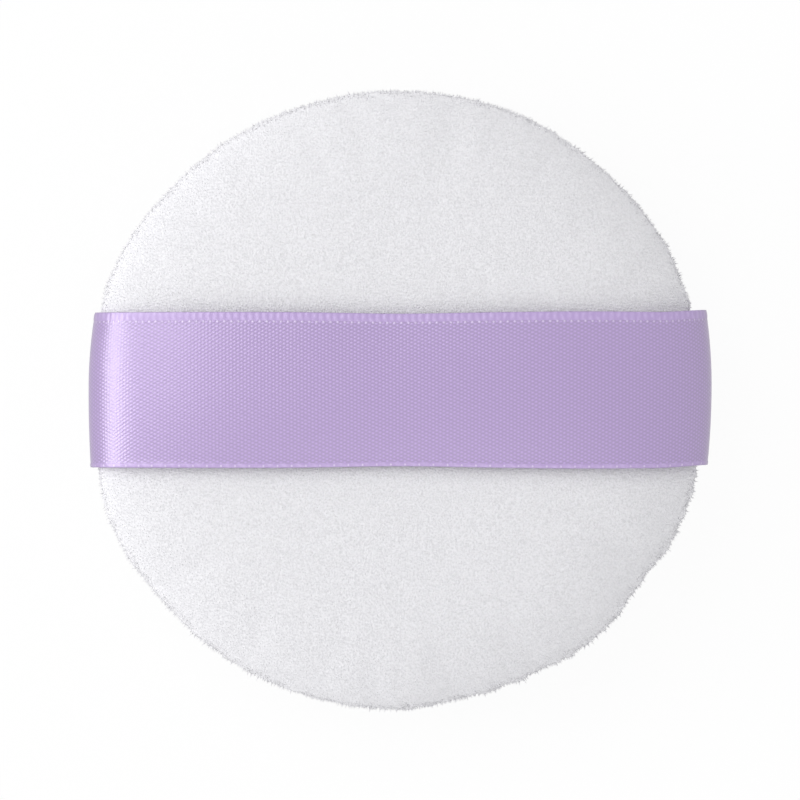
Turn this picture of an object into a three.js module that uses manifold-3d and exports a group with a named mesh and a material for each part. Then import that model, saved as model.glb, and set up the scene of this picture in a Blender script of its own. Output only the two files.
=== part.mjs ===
// A round velour powder puff with a satin finger ribbon, in millimetres, +Z up, lying on its skin side.
// Two pile covers are sewn rim to rim round a foam pad with the ribbon's tails caught in the seam, turned right
// side out, and the turning gap is closed by hand. The origin is on the resting plane, under the puff's centre.
import * as THREE from "three";
import { mergeVertices } from "three/addons/utils/BufferGeometryUtils.js";
import Module from "manifold-3d";

const wasm = await Module();
wasm.setup();

// The puff's outline and section
const puffDiameter = 80;
const puffThickness = 18;
const restFlatDepth = 0.5;
const bulgeHeight = 2.4;
const outlineExponent = 3.5;
const sideExponent = 2.2;

// The velour covers and the seam that joins them
const fabricThickness = 1.8;
const allowanceWidth = 4;
const allowanceThickness = 1;
const seamInset = 1.6;
const seamGap = 0.3;

// The foam pad inside
const foamClearance = 0.3;

// The satin finger ribbon
const ribbonWidth = 20;
const ribbonThickness = 0.4;
const ribbonShift = 1.3;
const ribbonStandOut = 1.2;
const ribbonBendRadius = 1.5;
const ribbonEndBow = 0.8;
const bowFade = 8;
const ribbonCamber = 0.3;
const camberFade = 4;
const fingerGap = 1.8;
const archExponent = 4;
const pocketClearance = 0.3;

// Sewing thread: the machine seam's two threads, and the hand stitches of the turning gap
const threadDiameter = 0.4;
const stitchLength = 4;
const stitchRise = 0.3;
const stitchInset = 1;
const threadSeat = 0.1;
const turningGapLength = 26;
const gapFromRibbon = 3;
const handStitchLength = 2.6;
const handStitchReach = 0.2;
const handThreadOutset = 0.9;

// Where the rim is drawn in: by the ribbon's two tails, by the closed turning gap, and by one tight stitch
const ribbonDrawIn = 0.9;
const gapDrawIn = 0.7;
const gapSpread = THREE.MathUtils.degToRad(7);
const puckerDrawIn = 0.3;
const puckerSpread = THREE.MathUtils.degToRad(6);
const puckerAngle = THREE.MathUtils.degToRad(78);
const drawInFade = 3;

// How finely the round surfaces are stepped
const roundSteps = 64;
const crownSteps = 8;
const wallSteps = 4;
const rimSteps = 3;
const bendSteps = 4;
const archSteps = 22;
const widthSteps = 4;
const threadSides = 4;
const stepsPerStitch = 4;

// Worked out from the sizes above. Heights are measured from the seam plane.
const puffRadius = puffDiameter / 2;
const halfThickness = puffThickness / 2;
const halfSeamGap = seamGap / 2;
const threadRadius = threadDiameter / 2;
const allowanceTop = halfSeamGap + allowanceThickness;
const wallRadius = puffRadius - fabricThickness;
const wallCrown = halfThickness - fabricThickness;
const seamRadius = puffRadius - seamInset;
const rawEdgeRadius = seamRadius - allowanceWidth;
const grooveTop = allowanceTop + threadSeat + stitchRise + threadDiameter + foamClearance;
const wallFoot = Math.max(bulgeHeight, grooveTop);
const ribbonReach = puffRadius - ribbonDrawIn + ribbonStandOut;
const tailAngle = Math.asin(ribbonShift / puffRadius);
const ribbonEdgeAngle = Math.asin((ribbonWidth / 2 - ribbonShift) / seamRadius);
const halfGapAngle = turningGapLength / 2 / seamRadius;
const turningGapAngle = -(ribbonEdgeAngle + gapFromRibbon / seamRadius + halfGapAngle);
const tailSpread = ribbonWidth / puffDiameter;
const pulls = [
  { angle: tailAngle, spread: tailSpread, depth: ribbonDrawIn },
  { angle: Math.PI - tailAngle, spread: tailSpread, depth: ribbonDrawIn },
  { angle: turningGapAngle, spread: gapSpread, depth: gapDrawIn },
  { angle: puckerAngle, spread: puckerSpread, depth: puckerDrawIn },
];

const velour = new THREE.MeshStandardMaterial({ color: 0xf1f0f4, roughness: 0.95, metalness: 0 });
const foam = new THREE.MeshStandardMaterial({ color: 0xf3efe2, roughness: 0.9, metalness: 0 });
const satin = new THREE.MeshStandardMaterial({ color: 0xbfa6d4, roughness: 0.4, metalness: 0 });
const cotton = new THREE.MeshStandardMaterial({ color: 0xf7f7f5, roughness: 0.8, metalness: 0 });

// A radius as the stitching leaves it: drawn in at each pull, most at the rim and hardly at all by the centre.
function drawnRadius(radius, angle) {
  const share = (radius / puffRadius) ** drawInFade;
  let drawIn = 0;
  for (const pull of pulls) {
    const away = Math.atan2(Math.sin(angle - pull.angle), Math.cos(angle - pull.angle));
    drawIn += pull.depth * Math.exp(-((away / pull.spread) ** 2));
  }
  return radius - drawIn * share;
}

// A squared-off dome from its crown on the axis, or the flat cut in it, down to its foot at its full radius.
function domeCurve({ radius, foot, crown, steps, flatDepth = 0 }) {
  const rise = crown - foot;
  const start = Math.acos(((rise - flatDepth) / rise) ** (sideExponent / 2));
  const points = start > 0 ? [new THREE.Vector2(0, crown - flatDepth)] : [];
  for (let i = 0; i <= steps; i++) {
    const turn = THREE.MathUtils.lerp(start, Math.PI / 2, i / steps);
    const out = Math.sin(turn) ** (2 / outlineExponent);
    const up = Math.max(Math.cos(turn), 0) ** (2 / sideExponent);
    points.push(new THREE.Vector2(radius * out, foot + rise * up));
  }
  return points;
}

// The rim's outside, from the widest point round and in to the seam line.
function rimCurve() {
  const points = [];
  for (let i = 1; i <= rimSteps; i++) {
    const turn = (i / rimSteps) * (Math.PI / 2);
    const out = seamRadius + seamInset * Math.cos(turn);
    points.push(new THREE.Vector2(out, bulgeHeight - (bulgeHeight - halfSeamGap) * Math.sin(turn)));
  }
  return points;
}

// The inside of a cover's wall, or the foam's skin where it lies a clearance away.
function innerDome(clearance) {
  return domeCurve({
    radius: wallRadius - clearance,
    foot: wallFoot,
    crown: wallCrown - clearance,
    steps: wallSteps,
  });
}

// One cover's section: outside, rim, the allowance turned in along the seam, and the inside of the wall.
function coverProfile(flatDepth) {
  return [
    ...domeCurve({
      radius: puffRadius,
      foot: bulgeHeight,
      crown: halfThickness,
      steps: crownSteps,
      flatDepth,
    }),
    ...rimCurve(),
    new THREE.Vector2(rawEdgeRadius, halfSeamGap),
    new THREE.Vector2(rawEdgeRadius, allowanceTop),
    new THREE.Vector2(wallRadius, allowanceTop),
    ...innerDome(0).reverse(),
  ];
}

// The pad fills both covers, and its edge is grooved round the turned-in allowances and their stitches.
function foamProfile() {
  const grooveMouth = new THREE.Vector2(wallRadius - foamClearance, grooveTop);
  const grooveEnd = new THREE.Vector2(rawEdgeRadius - foamClearance, grooveTop);
  const upper = [...innerDome(foamClearance), ...(grooveTop < wallFoot ? [grooveMouth] : []), grooveEnd];
  return [...upper.map(mirrored), ...upper.reverse()];
}

function mirrored(point) {
  return new THREE.Vector2(point.x, -point.y);
}

// Turns a section round the puff's axis, upright, and draws its rim in as the stitches do.
function turned(profile) {
  const geometry = new THREE.LatheGeometry(profile, roundSteps);
  geometry.rotateX(Math.PI / 2);
  return reshaped(geometry, (point) => {
    const angle = Math.atan2(point.y, point.x);
    const radius = Math.hypot(point.x, point.y);
    const drawn = drawnRadius(radius, angle);
    point.x = drawn * Math.cos(angle);
    point.y = drawn * Math.sin(angle);
  });
}

// Joins a geometry's shared vertices and moves each of them by a function of its place.
function reshaped(geometry, move) {
  geometry.deleteAttribute("normal");
  geometry.deleteAttribute("uv");
  const merged = mergeVertices(geometry);
  const places = merged.getAttribute("position");
  const point = new THREE.Vector3();
  for (let i = 0; i < places.count; i++) {
    point.fromBufferAttribute(places, i);
    move(point);
    places.setXYZ(i, point.x, point.y, point.z);
  }
  return merged;
}

function solidOf(geometry) {
  return new wasm.Manifold(
    new wasm.Mesh({
      numProp: 3,
      vertProperties: new Float32Array(geometry.getAttribute("position").array),
      triVerts: new Uint32Array(geometry.index.array),
    }),
  );
}

function geometryOf(solid) {
  const { vertProperties, triVerts } = solid.getMesh();
  const geometry = new THREE.BufferGeometry();
  geometry.setAttribute("position", new THREE.BufferAttribute(vertProperties, 3));
  geometry.setIndex(new THREE.BufferAttribute(triVerts, 1));
  return geometry;
}

// The room that a ribbon tail takes in the seam, from beyond the allowances' raw edges out through the rim.
function tailPocket(side) {
  const inner = rawEdgeRadius - ribbonDrawIn - pocketClearance;
  const length = puffRadius - inner;
  const width = ribbonWidth + 2 * pocketClearance;
  const height = ribbonThickness + 2 * pocketClearance;
  const box = new THREE.BoxGeometry(length, width, height);
  box.translate(side * (inner + length / 2), ribbonShift, 0);
  return solidOf(reshaped(box, () => {}));
}

// A cover with its pockets for the two ribbon tails. side is 1 for the ribbon side and -1 for the skin side.
function coverGeometry(side, flatDepth) {
  const section = coverProfile(flatDepth);
  const profile = side > 0 ? section.reverse() : section.map(mirrored);
  const cover = solidOf(turned(profile));
  return geometryOf(cover.subtract(tailPocket(1)).subtract(tailPocket(-1)));
}

// The ribbon's middle line from one tail's cut end to the crown of its arch, at +X.
function ribbonHalfLine() {
  const bendStart = ribbonReach - ribbonBendRadius;
  const archHeight = halfThickness + fingerGap + ribbonThickness / 2;
  const points = [new THREE.Vector2(drawnRadius(rawEdgeRadius, tailAngle), 0)];
  for (let i = 0; i <= bendSteps; i++) {
    const turn = (i / bendSteps) * (Math.PI / 2);
    const up = ribbonBendRadius * (1 - Math.cos(turn));
    points.push(new THREE.Vector2(bendStart + ribbonBendRadius * Math.sin(turn), up));
  }
  for (let i = 1; i <= archSteps; i++) {
    const turn = (i / archSteps) * (Math.PI / 2);
    const out = Math.max(Math.cos(turn), 0) ** (2 / archExponent);
    const up = Math.sin(turn);
    points.push(new THREE.Vector2(ribbonReach * out, ribbonBendRadius + (archHeight - ribbonBendRadius) * up));
  }
  return points;
}

// The ribbon's edge, seen from the front: its middle line thickened to both sides.
function ribbonShape() {
  const half = ribbonHalfLine();
  const otherHalf = half.slice(0, -1).map((point) => new THREE.Vector2(-point.x, point.y));
  const line = [...half, ...otherHalf.reverse()];
  const outer = [];
  const inner = [];
  line.forEach((point, i) => {
    const before = line[Math.max(i - 1, 0)];
    const after = line[Math.min(i + 1, line.length - 1)];
    const along = after.clone().sub(before).normalize();
    const across = new THREE.Vector2(along.y, -along.x).multiplyScalar(ribbonThickness / 2);
    outer.push(point.clone().add(across));
    inner.unshift(point.clone().sub(across));
  });
  return new THREE.Shape([...outer, ...inner]);
}

// The ribbon, bowed at its ends as it follows the round rim, and a little cambered across its arch.
function ribbonGeometry() {
  const archHeight = halfThickness + fingerGap;
  const ribbon = new THREE.ExtrudeGeometry(ribbonShape(), {
    depth: ribbonWidth,
    steps: widthSteps,
    bevelEnabled: false,
  });
  ribbon.rotateX(Math.PI / 2);
  ribbon.translate(0, ribbonWidth / 2, 0);
  return reshaped(ribbon, (point) => {
    const across = (point.y / (ribbonWidth / 2)) ** 2;
    const outShare = Math.abs(point.x / ribbonReach) ** bowFade;
    const upShare = Math.max(point.z / archHeight, 0) ** camberFade;
    point.x -= Math.sign(point.x) * ribbonEndBow * across * outShare;
    point.z -= ribbonCamber * across * upShare;
    point.y += ribbonShift;
  });
}

// A line of sewing round the rim: where it runs, and how it rises and falls with each stitch.
class SewnLine extends THREE.Curve {
  constructor({ from, to, radius, stitches, heightAt }) {
    super();
    Object.assign(this, { from, to, radius, stitches, heightAt });
    this.arcLengthDivisions = stitches * stepsPerStitch * 2;
  }

  getPoint(share, point = new THREE.Vector3()) {
    const angle = THREE.MathUtils.lerp(this.from, this.to, share);
    const radius = drawnRadius(this.radius, angle);
    const height = this.heightAt(share * this.stitches * 2 * Math.PI);
    return point.set(radius * Math.cos(angle), radius * Math.sin(angle), height);
  }
}

function threadGeometry(line) {
  const section = new THREE.Shape();
  for (let i = 0; i < threadSides; i++) {
    const turn = ((i + 1 / 2) / threadSides) * 2 * Math.PI;
    const place = [threadRadius * Math.cos(turn), threadRadius * Math.sin(turn)];
    if (i === 0) section.moveTo(...place);
    else section.lineTo(...place);
  }
  const thread = new THREE.ExtrudeGeometry(section, {
    steps: line.stitches * stepsPerStitch,
    extrudePath: line,
    bevelEnabled: false,
  });
  return reshaped(thread, () => {});
}

// One of the machine seam's two threads, lying on its allowance all round but for the turning gap.
function machineThread(side) {
  const radius = seamRadius - stitchInset;
  const from = turningGapAngle + halfGapAngle;
  const to = turningGapAngle + 2 * Math.PI - halfGapAngle;
  const stitches = Math.round(((to - from) * radius) / stitchLength);
  const low = allowanceTop + threadSeat + threadRadius;
  const heightAt = (turn) => side * (low + (stitchRise * (1 - Math.cos(turn))) / 2);
  return threadGeometry(new SewnLine({ from, to, radius, stitches, heightAt }));
}

// The hand stitches that close the turning gap, crossing from cover to cover in the groove of the rim.
function handThread() {
  const radius = seamRadius + handThreadOutset;
  const from = turningGapAngle - halfGapAngle;
  const to = turningGapAngle + halfGapAngle;
  const stitches = Math.round(turningGapLength / handStitchLength);
  const heightAt = (turn) => handStitchReach * Math.sin(turn);
  return threadGeometry(new SewnLine({ from, to, radius, stitches, heightAt }));
}

const puff = new THREE.Group();
puff.position.z = halfThickness - restFlatDepth;

function addPiece(name, geometry, material) {
  const mesh = new THREE.Mesh(geometry, material);
  mesh.name = name;
  puff.add(mesh);
}

addPiece("face_cover", coverGeometry(-1, restFlatDepth), velour);
addPiece("back_cover", coverGeometry(1, 0), velour);
addPiece("foam_pad", turned(foamProfile()), foam);
addPiece("finger_ribbon", ribbonGeometry(), satin);
addPiece("seam_needle_thread", machineThread(1), cotton);
addPiece("seam_bobbin_thread", machineThread(-1), cotton);
addPiece("closing_thread", handThread(), cotton);

const part = new THREE.Group();
part.add(puff);

export default part;
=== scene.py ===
import math

import bmesh
import bpy
from bpy.props import FloatProperty, FloatVectorProperty, PointerProperty
from mathutils import Matrix, Vector, noise


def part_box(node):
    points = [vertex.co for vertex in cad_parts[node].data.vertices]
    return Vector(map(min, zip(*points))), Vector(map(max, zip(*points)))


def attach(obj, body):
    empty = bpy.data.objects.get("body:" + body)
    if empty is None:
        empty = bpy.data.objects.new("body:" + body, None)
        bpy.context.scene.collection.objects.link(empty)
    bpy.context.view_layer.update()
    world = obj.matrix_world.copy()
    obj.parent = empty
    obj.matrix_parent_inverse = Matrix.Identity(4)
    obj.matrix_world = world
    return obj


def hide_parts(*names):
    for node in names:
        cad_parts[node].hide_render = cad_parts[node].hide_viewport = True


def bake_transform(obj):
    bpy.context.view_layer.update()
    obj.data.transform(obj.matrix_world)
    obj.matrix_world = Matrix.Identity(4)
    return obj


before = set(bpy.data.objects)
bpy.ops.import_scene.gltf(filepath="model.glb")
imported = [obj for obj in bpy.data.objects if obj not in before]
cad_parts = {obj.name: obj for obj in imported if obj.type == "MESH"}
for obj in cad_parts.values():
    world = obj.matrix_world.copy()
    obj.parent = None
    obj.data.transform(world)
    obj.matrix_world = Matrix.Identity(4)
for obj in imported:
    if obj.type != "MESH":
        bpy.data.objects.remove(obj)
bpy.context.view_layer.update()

bl_info = {
    "name": "Velour Powder Puff",
    "version": (1, 0, 0),
    "blender": (4, 5, 0),
    "location": "View3D > Sidebar > Powder Puff",
    "description": "Makes a round velour powder puff with a satin finger ribbon",
    "category": "Object",
}

MM = 0.001

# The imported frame: the puff's centre and outline, its two covers, the foam inside and the ribbon over it
BACK_LOW, BACK_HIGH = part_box("back_cover")
FACE_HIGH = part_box("face_cover")[1]
FOAM_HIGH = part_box("foam_pad")[1]
RIBBON_LOW, RIBBON_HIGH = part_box("finger_ribbon")
NEEDLE_LOW, NEEDLE_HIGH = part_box("seam_needle_thread")
COVER_SHIFT = -0.35 * MM
PUFF_X = (BACK_LOW.x + BACK_HIGH.x) / 2 + COVER_SHIFT
RIBBON_X = (RIBBON_LOW.x + RIBBON_HIGH.x) / 2
PUFF_RADIUS = -BACK_LOW.y
SEAM_Z = (BACK_LOW.z + FACE_HIGH.z) / 2
SEAM_GAP = BACK_LOW.z - FACE_HIGH.z
HALF_THICKNESS = BACK_HIGH.z - SEAM_Z
FOAM_RISE = FOAM_HIGH.z - SEAM_Z
RIBBON_WIDTH = RIBBON_HIGH.y - RIBBON_LOW.y
RIBBON_SHIFT = (RIBBON_HIGH.y + RIBBON_LOW.y) / 2
RIBBON_REACH = (RIBBON_HIGH.x - RIBBON_LOW.x) / 2
TAIL_DRAW_IN = PUFF_RADIUS - (BACK_HIGH.x - BACK_LOW.x) / 2

# The section of the sewn puff, measured from its centre on the seam plane
DOME_POWER = 3.5
SIDE_POWER = 2.2
BULGE_HEIGHT = 2.4 * MM
RIM_INSET = 1.5 * MM
ALLOWANCE_WIDTH = 4 * MM
PILE_PROUD = 0.82 * MM
LUMP_HEIGHT = 0.85 * MM
NAP = Vector((0.6, -0.8, 0.0))
SEAM_RADIUS = 38.4 * MM
GROOVE_HEIGHT = 2.25 * MM
FOAM_RADIUS = 37.9 * MM
TURNING_GAP_ANGLE = math.radians(-37)
TURNING_GAP_LENGTH = 26 * MM
SEAM_SHARE = 0.35
ROUND_STEPS = 192
PILE_SECTORS = 2

# The studio: how far off the lamps hang, the floor's reach, and how white it shows beside its shadow
LAMP_DISTANCE = 0.9
FLOOR_REACH = 3.0
FLOOR_GLOW = 0.93


def length_setting(name, description, default):
    return FloatProperty(name=name, description=description, default=default, unit="LENGTH")


def power_setting(name, description, default):
    return FloatProperty(name=name, description=description, default=default, unit="POWER")


def colour_setting(name, description, default):
    return FloatVectorProperty(name=name, description=description, default=default, subtype="COLOR")


class PuffSizes(bpy.types.PropertyGroup):
    pile_length: length_setting(
        "Pile Length", "How far the free tips of the pile stand off its dense base", 0.36 * MM
    )
    ground_thickness: length_setting(
        "Ground Thickness", "Thickness of the knitted ground cloth with the dense base of its pile", 1.3 * MM
    )
    tuft_spacing: length_setting(
        "Tuft Spacing", "Least distance from one tuft of pile to the next", 0.32 * MM
    )
    tuft_radius: length_setting("Tuft Radius", "Radius of a tuft of pile at its root", 0.05 * MM)
    rim_tuft_length: length_setting(
        "Rim Tuft Length", "How far the ragged tufts round the rim stand off the pile's dense base", 0.46 * MM
    )
    nap_lean: FloatProperty(
        name="Nap Lean",
        description="How far the brushed pile leans over, as a share of its length",
        default=0.2,
    )
    swelling: length_setting("Swelling", "The most that the foam may push a cover outwards", 0.45 * MM)


class RibbonSizes(bpy.types.PropertyGroup):
    thickness: length_setting("Thickness", "Thickness of the woven satin", 0.3 * MM)
    pick_spacing: length_setting(
        "Pick Spacing", "Distance between the weft picks along the ribbon", 0.456 * MM
    )
    binding_spacing: length_setting(
        "Binding Spacing",
        "Distance across the ribbon between one pick's binding points, five warp ends apart",
        0.483 * MM,
    )
    upper_selvedge: length_setting(
        "Upper Selvedge", "Width of the looped selvedge along the ribbon's upper edge", 1.05 * MM
    )
    lower_selvedge: length_setting(
        "Lower Selvedge", "Width of the selvedge along the ribbon's lower edge", 0.5 * MM
    )
    camber: length_setting("Camber", "How far the ribbon's middle stands above its edges", 1.0 * MM)


class Finishes(bpy.types.PropertyGroup):
    pile: colour_setting("Pile", "Colour of the cut pile", (0.962, 0.957, 0.988))
    ground: colour_setting("Ground", "Colour of the ground cloth", (0.925, 0.92, 0.95))
    satin: colour_setting("Satin", "Colour of the ribbon", (0.49, 0.322, 0.715))
    foam: colour_setting("Foam", "Colour of the foam pad", (0.86, 0.83, 0.72))
    thread: colour_setting("Thread", "Colour of the sewing thread", (0.88, 0.88, 0.87))


class Studio(bpy.types.PropertyGroup):
    camera_height: length_setting("Camera Height", "How far above the puff's rim the camera hangs", 1.0)
    frame_width: length_setting("Frame Width", "Width of the picture at the puff's rim", 103.8 * MM)
    key_power: power_setting("Key Power", "Power of the big lamp high at the top left", 2.2)
    side_power: power_setting("Side Power", "Power of the low lamp at the left", 2.1)
    fill_power: power_setting("Fill Power", "Power of the weak lamp at the bottom", 0.75)
    sky: FloatProperty(name="Sky", description="Strength of the even light all round", default=0.695)


# Shared tools for meshes

def rim_pulls():
    """Where the stitching draws the rim in: the angle, spread and depth of each pull.

    The pile bulges out beside the ribbon, and there the depth is less than nothing."""
    tail = math.asin(RIBBON_SHIFT / PUFF_RADIUS)
    tail_spread = RIBBON_WIDTH / PUFF_RADIUS / 2
    lesser = ((-71, 13, 0.45), (35, 8, -0.15), (69, 8, -0.2), (154, 13, -0.4), (-154, 9, -0.35))
    return [
        (tail, tail_spread, TAIL_DRAW_IN),
        (math.pi - tail, tail_spread, TAIL_DRAW_IN),
        (TURNING_GAP_ANGLE, math.radians(6), 0.6 * MM),
        *((math.radians(angle), math.radians(spread), depth * MM) for angle, spread, depth in lesser),
    ]


def drawn_in(point):
    """A point of the round puff, moved as its stitching draws the rim in."""
    radius = math.hypot(point.x, point.y)
    if radius == 0:
        return point
    angle = math.atan2(point.y, point.x)
    depth = 0.0
    for pull_angle, spread, pull_depth in rim_pulls():
        away = math.remainder(angle - pull_angle, math.tau)
        depth += pull_depth * math.exp(-((away / spread) ** 4))
    scale = 1 - depth * (radius / PUFF_RADIUS) ** 3 / radius
    return Vector((point.x * scale, point.y * scale, point.z))


def smooth_step(low, high, value):
    share = min(max((value - low) / (high - low), 0), 1)
    return share * share * (3 - 2 * share)


def dome(radius, foot, crown, steps):
    """The (radius, height) points of a squared-off dome, from its crown on the axis to its foot."""
    points = []
    for i in range(steps + 1):
        turn = math.pi / 2 * (i / steps) ** (DOME_POWER / 2)
        out = math.sin(turn) ** (2 / DOME_POWER)
        up = max(math.cos(turn), 0) ** (2 / SIDE_POWER)
        points.append((radius * out, foot + (crown - foot) * up))
    return points


def link(name, data, *materials):
    piece = bpy.data.objects.new(name, data)
    bpy.context.scene.collection.objects.link(piece)
    if materials:
        data.materials.clear()
    for material in materials:
        data.materials.append(material)
    return piece


def spun(name, profile, steps):
    """A mesh turned from a profile of (radius, height, share) points round the puff's axis.

    The share is kept on the points as the attribute pile_share."""
    bm = bmesh.new()
    share_layer = bm.verts.layers.float.new("pile_share")
    previous = None
    edges = []
    for radius, height, share in profile:
        vert = bm.verts.new((radius, 0, height))
        vert[share_layer] = share
        if previous:
            edges.append(bm.edges.new((previous, vert)))
        previous = vert
    bmesh.ops.spin(
        bm,
        geom=bm.verts[:] + edges,
        cent=(0, 0, 0),
        axis=(0, 0, 1),
        angle=math.tau,
        steps=steps,
        use_merge=True,
    )
    bmesh.ops.remove_doubles(bm, verts=bm.verts[:], dist=MM / 1000)
    bmesh.ops.recalc_face_normals(bm, faces=bm.faces[:])
    bm.verts.index_update()
    mesh = bpy.data.meshes.new(name)
    mesh.from_pydata([vert.co for vert in bm.verts], [], sorted(corners_of(face) for face in bm.faces))
    shares = mesh.attributes.new("pile_share", "FLOAT", "POINT")
    shares.data.foreach_set("value", [vert[share_layer] for vert in bm.verts])
    bm.free()
    mesh.shade_smooth()
    return mesh


def corners_of(face):
    """A face's corners from the lowest on, so that faces come in the same order on every run."""
    corners = [vert.index for vert in face.verts]
    first = corners.index(min(corners))
    return corners[first:] + corners[:first]


def moved(mesh, move):
    """Moves every point of a mesh by a function of its place."""
    for vert in mesh.vertices:
        vert.co = move(vert.co)
    mesh.update()
    return mesh


def with_modifier(mesh, kind, **settings):
    """The mesh as one modifier with these settings leaves it."""
    holder = link("holder", mesh)
    modifier = holder.modifiers.new(kind.title(), kind)
    for name, value in settings.items():
        setattr(modifier, name, value)
    return taken(holder)


def smoothed(mesh):
    return with_modifier(mesh, "SUBSURF", levels=1, render_levels=1)


def taken(holder):
    """The finished mesh of an object whose modifiers have done their work. The object goes."""
    depsgraph = bpy.context.evaluated_depsgraph_get()
    mesh = bpy.data.meshes.new_from_object(
        holder.evaluated_get(depsgraph), preserve_all_data_layers=True, depsgraph=depsgraph
    )
    bpy.data.objects.remove(holder)
    return mesh


def settled(mesh, centre_x=PUFF_X):
    """Moves a mesh that was made round the seam plane's centre to its place in the frame."""
    mesh.transform(Matrix.Translation((centre_x, 0, SEAM_Z)))
    return mesh


# Shared tools for materials

def node_maker(tree):
    """A function that adds a node, sets its properties and links or fills its inputs."""

    def make(kind, inputs=None, **properties):
        node = tree.nodes.new(kind)
        for name, value in properties.items():
            setattr(node, name, value)
        for name, value in (inputs or {}).items():
            socket = node.inputs[name]
            if isinstance(value, bpy.types.NodeSocket):
                tree.links.new(value, socket)
            else:
                socket.default_value = value
        return node

    return make


def calculator(make):
    """A function that adds a Math node and returns its result."""

    def math_node(operation, *values, clamp=False):
        node = make("ShaderNodeMath", dict(enumerate(values)), operation=operation, use_clamp=clamp)
        return node.outputs[0]

    return math_node


def mixed(make, factor, first, second, blend="MIX"):
    """The colour result of a Mix node, whose colours are its inputs 6 and 7 and its output 2."""
    inputs = {0: factor, 6: first, 7: second}
    return make("ShaderNodeMix", inputs, data_type="RGBA", blend_type=blend).outputs[2]


def clouds(make, place, scale, detail, roughness=0.5):
    """The value of a noise texture at a place."""
    inputs = {"Vector": place, "Scale": scale, "Detail": detail, "Roughness": roughness}
    return make("ShaderNodeTexNoise", inputs).outputs["Fac"]


def cells(make, place, scale):
    """The distance from the nearest point of a Voronoi texture."""
    return make("ShaderNodeTexVoronoi", {"Vector": place, "Scale": scale}).outputs["Distance"]


def ranged(make, value, low, high, kind="LINEAR"):
    """A value taken to 0 at low and to 1 at high."""
    inputs = {"Value": value, "From Min": low, "From Max": high}
    return make("ShaderNodeMapRange", inputs, interpolation_type=kind).outputs["Result"]


def bumped(make, height, strength, depth):
    """The normal of a surface with this relief."""
    inputs = {"Height": height, "Strength": strength, "Distance": depth}
    return make("ShaderNodeBump", inputs).outputs["Normal"]


def new_material(name):
    """A material with an empty node tree, and its node maker."""
    material = bpy.data.materials.new(name)
    material.use_nodes = True
    material.node_tree.nodes.clear()
    return material, node_maker(material.node_tree)


def finished(make, inputs):
    """Ends a material: a Principled BSDF with the given inputs, put out to the surface."""
    shader = make("ShaderNodeBsdfPrincipled", inputs)
    make("ShaderNodeOutputMaterial", {"Surface": shader.outputs["BSDF"]})


def rgba(colour, strength=1.0):
    return (*(channel * strength for channel in colour), 1)


def effect_group(name, inputs, outputs):
    """A shader node group, made once: its tree, node maker, input node and output node."""
    group = bpy.data.node_groups.new(name, "ShaderNodeTree")
    for sockets, in_out in ((inputs, "INPUT"), (outputs, "OUTPUT")):
        for socket_name, kind in sockets.items():
            group.interface.new_socket(socket_name, in_out=in_out, socket_type="NodeSocket" + kind)
    make = node_maker(group)
    return group, make, make("NodeGroupInput").outputs, make("NodeGroupOutput").inputs


def mottle_group():
    """Soft cloudy colour variation: two sizes of noise turn a colour towards its shade."""
    group, make, given, out = effect_group(
        "Mottle",
        {
            "Coordinates": "Vector",
            "Colour": "Color",
            "Shade": "Color",
            "Coarse Scale": "Float",
            "Fine Scale": "Float",
            "Amount": "Float",
        },
        {"Colour": "Color"},
    )
    calc = calculator(make)
    coarse = clouds(make, given["Coordinates"], given["Coarse Scale"], 3.0)
    fine = clouds(make, given["Coordinates"], given["Fine Scale"], 2.0)
    both = calc("ADD", coarse, fine)
    amount = calc("MULTIPLY", calc("SUBTRACT", both, 0.5), given["Amount"], clamp=True)
    group.links.new(mixed(make, amount, given["Colour"], given["Shade"]), out["Colour"])
    return group


def woven_group():
    """The satin's weave on a lattice of picks and bindings: rounded floats with hollows between them."""
    group, make, given, out = effect_group(
        "Satin Weave",
        {"Lattice": "Vector", "Step": "Float", "Ends": "Float"},
        {"Floats": "Float", "Height": "Float"},
    )
    calc = calculator(make)
    place = make("ShaderNodeSeparateXYZ", {"Vector": given["Lattice"]}).outputs
    picks = place["X"]
    bindings = calc("ADD", place["Y"], calc("MULTIPLY", picks, given["Step"]))
    crossing = calc("SUBTRACT", bindings, picks)
    waves = [calc("COSINE", calc("MULTIPLY", phase, math.tau)) for phase in (picks, bindings, crossing)]
    across = calc("MULTIPLY", calc("ADD", waves[1], waves[2]), 1.15)
    total = calc("ADD", calc("MULTIPLY", waves[0], 0.7), across)
    floats = calc("DIVIDE", calc("ADD", total, 1.5), 4.5, clamp=True)
    ends = calc("SINE", calc("MULTIPLY", calc("MULTIPLY", place["Y"], given["Ends"]), math.tau))
    height = calc("ADD", floats, calc("MULTIPLY", ends, 0.06))
    for name, socket in (("Floats", floats), ("Height", height)):
        group.links.new(socket, out[name])
    return group


def shared_group(name, maker):
    return bpy.data.node_groups.get(name) or maker()


def mottled(make, coordinates, colour, shade, coarse, fine, amount):
    """The colour that the Mottle group gives with these values."""
    inputs = {
        "Coordinates": coordinates,
        "Colour": colour,
        "Shade": shade,
        "Coarse Scale": coarse,
        "Fine Scale": fine,
        "Amount": amount,
    }
    return make("ShaderNodeGroup", inputs, node_tree=shared_group("Mottle", mottle_group)).outputs["Colour"]


# What the pile and its base have in common: little shine and a soft sheen
VELOUR = {"Specular IOR Level": 0.15, "Sheen Weight": 0.5, "Sheen Roughness": 0.45}


def brushed(make, finishes, colour):
    """A pile colour with soft changes that are drawn out along the way that the nap is brushed."""
    coordinates = make("ShaderNodeTexCoord").outputs["Object"]
    drawn_out = make("ShaderNodeMapping", {"Vector": coordinates, "Scale": (1.0, 0.25, 1.0)})
    shade = rgba(finishes.pile, 0.95)
    return mottled(make, drawn_out.outputs["Vector"], colour, shade, coarse=130.0, fine=700.0, amount=0.6)


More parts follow.
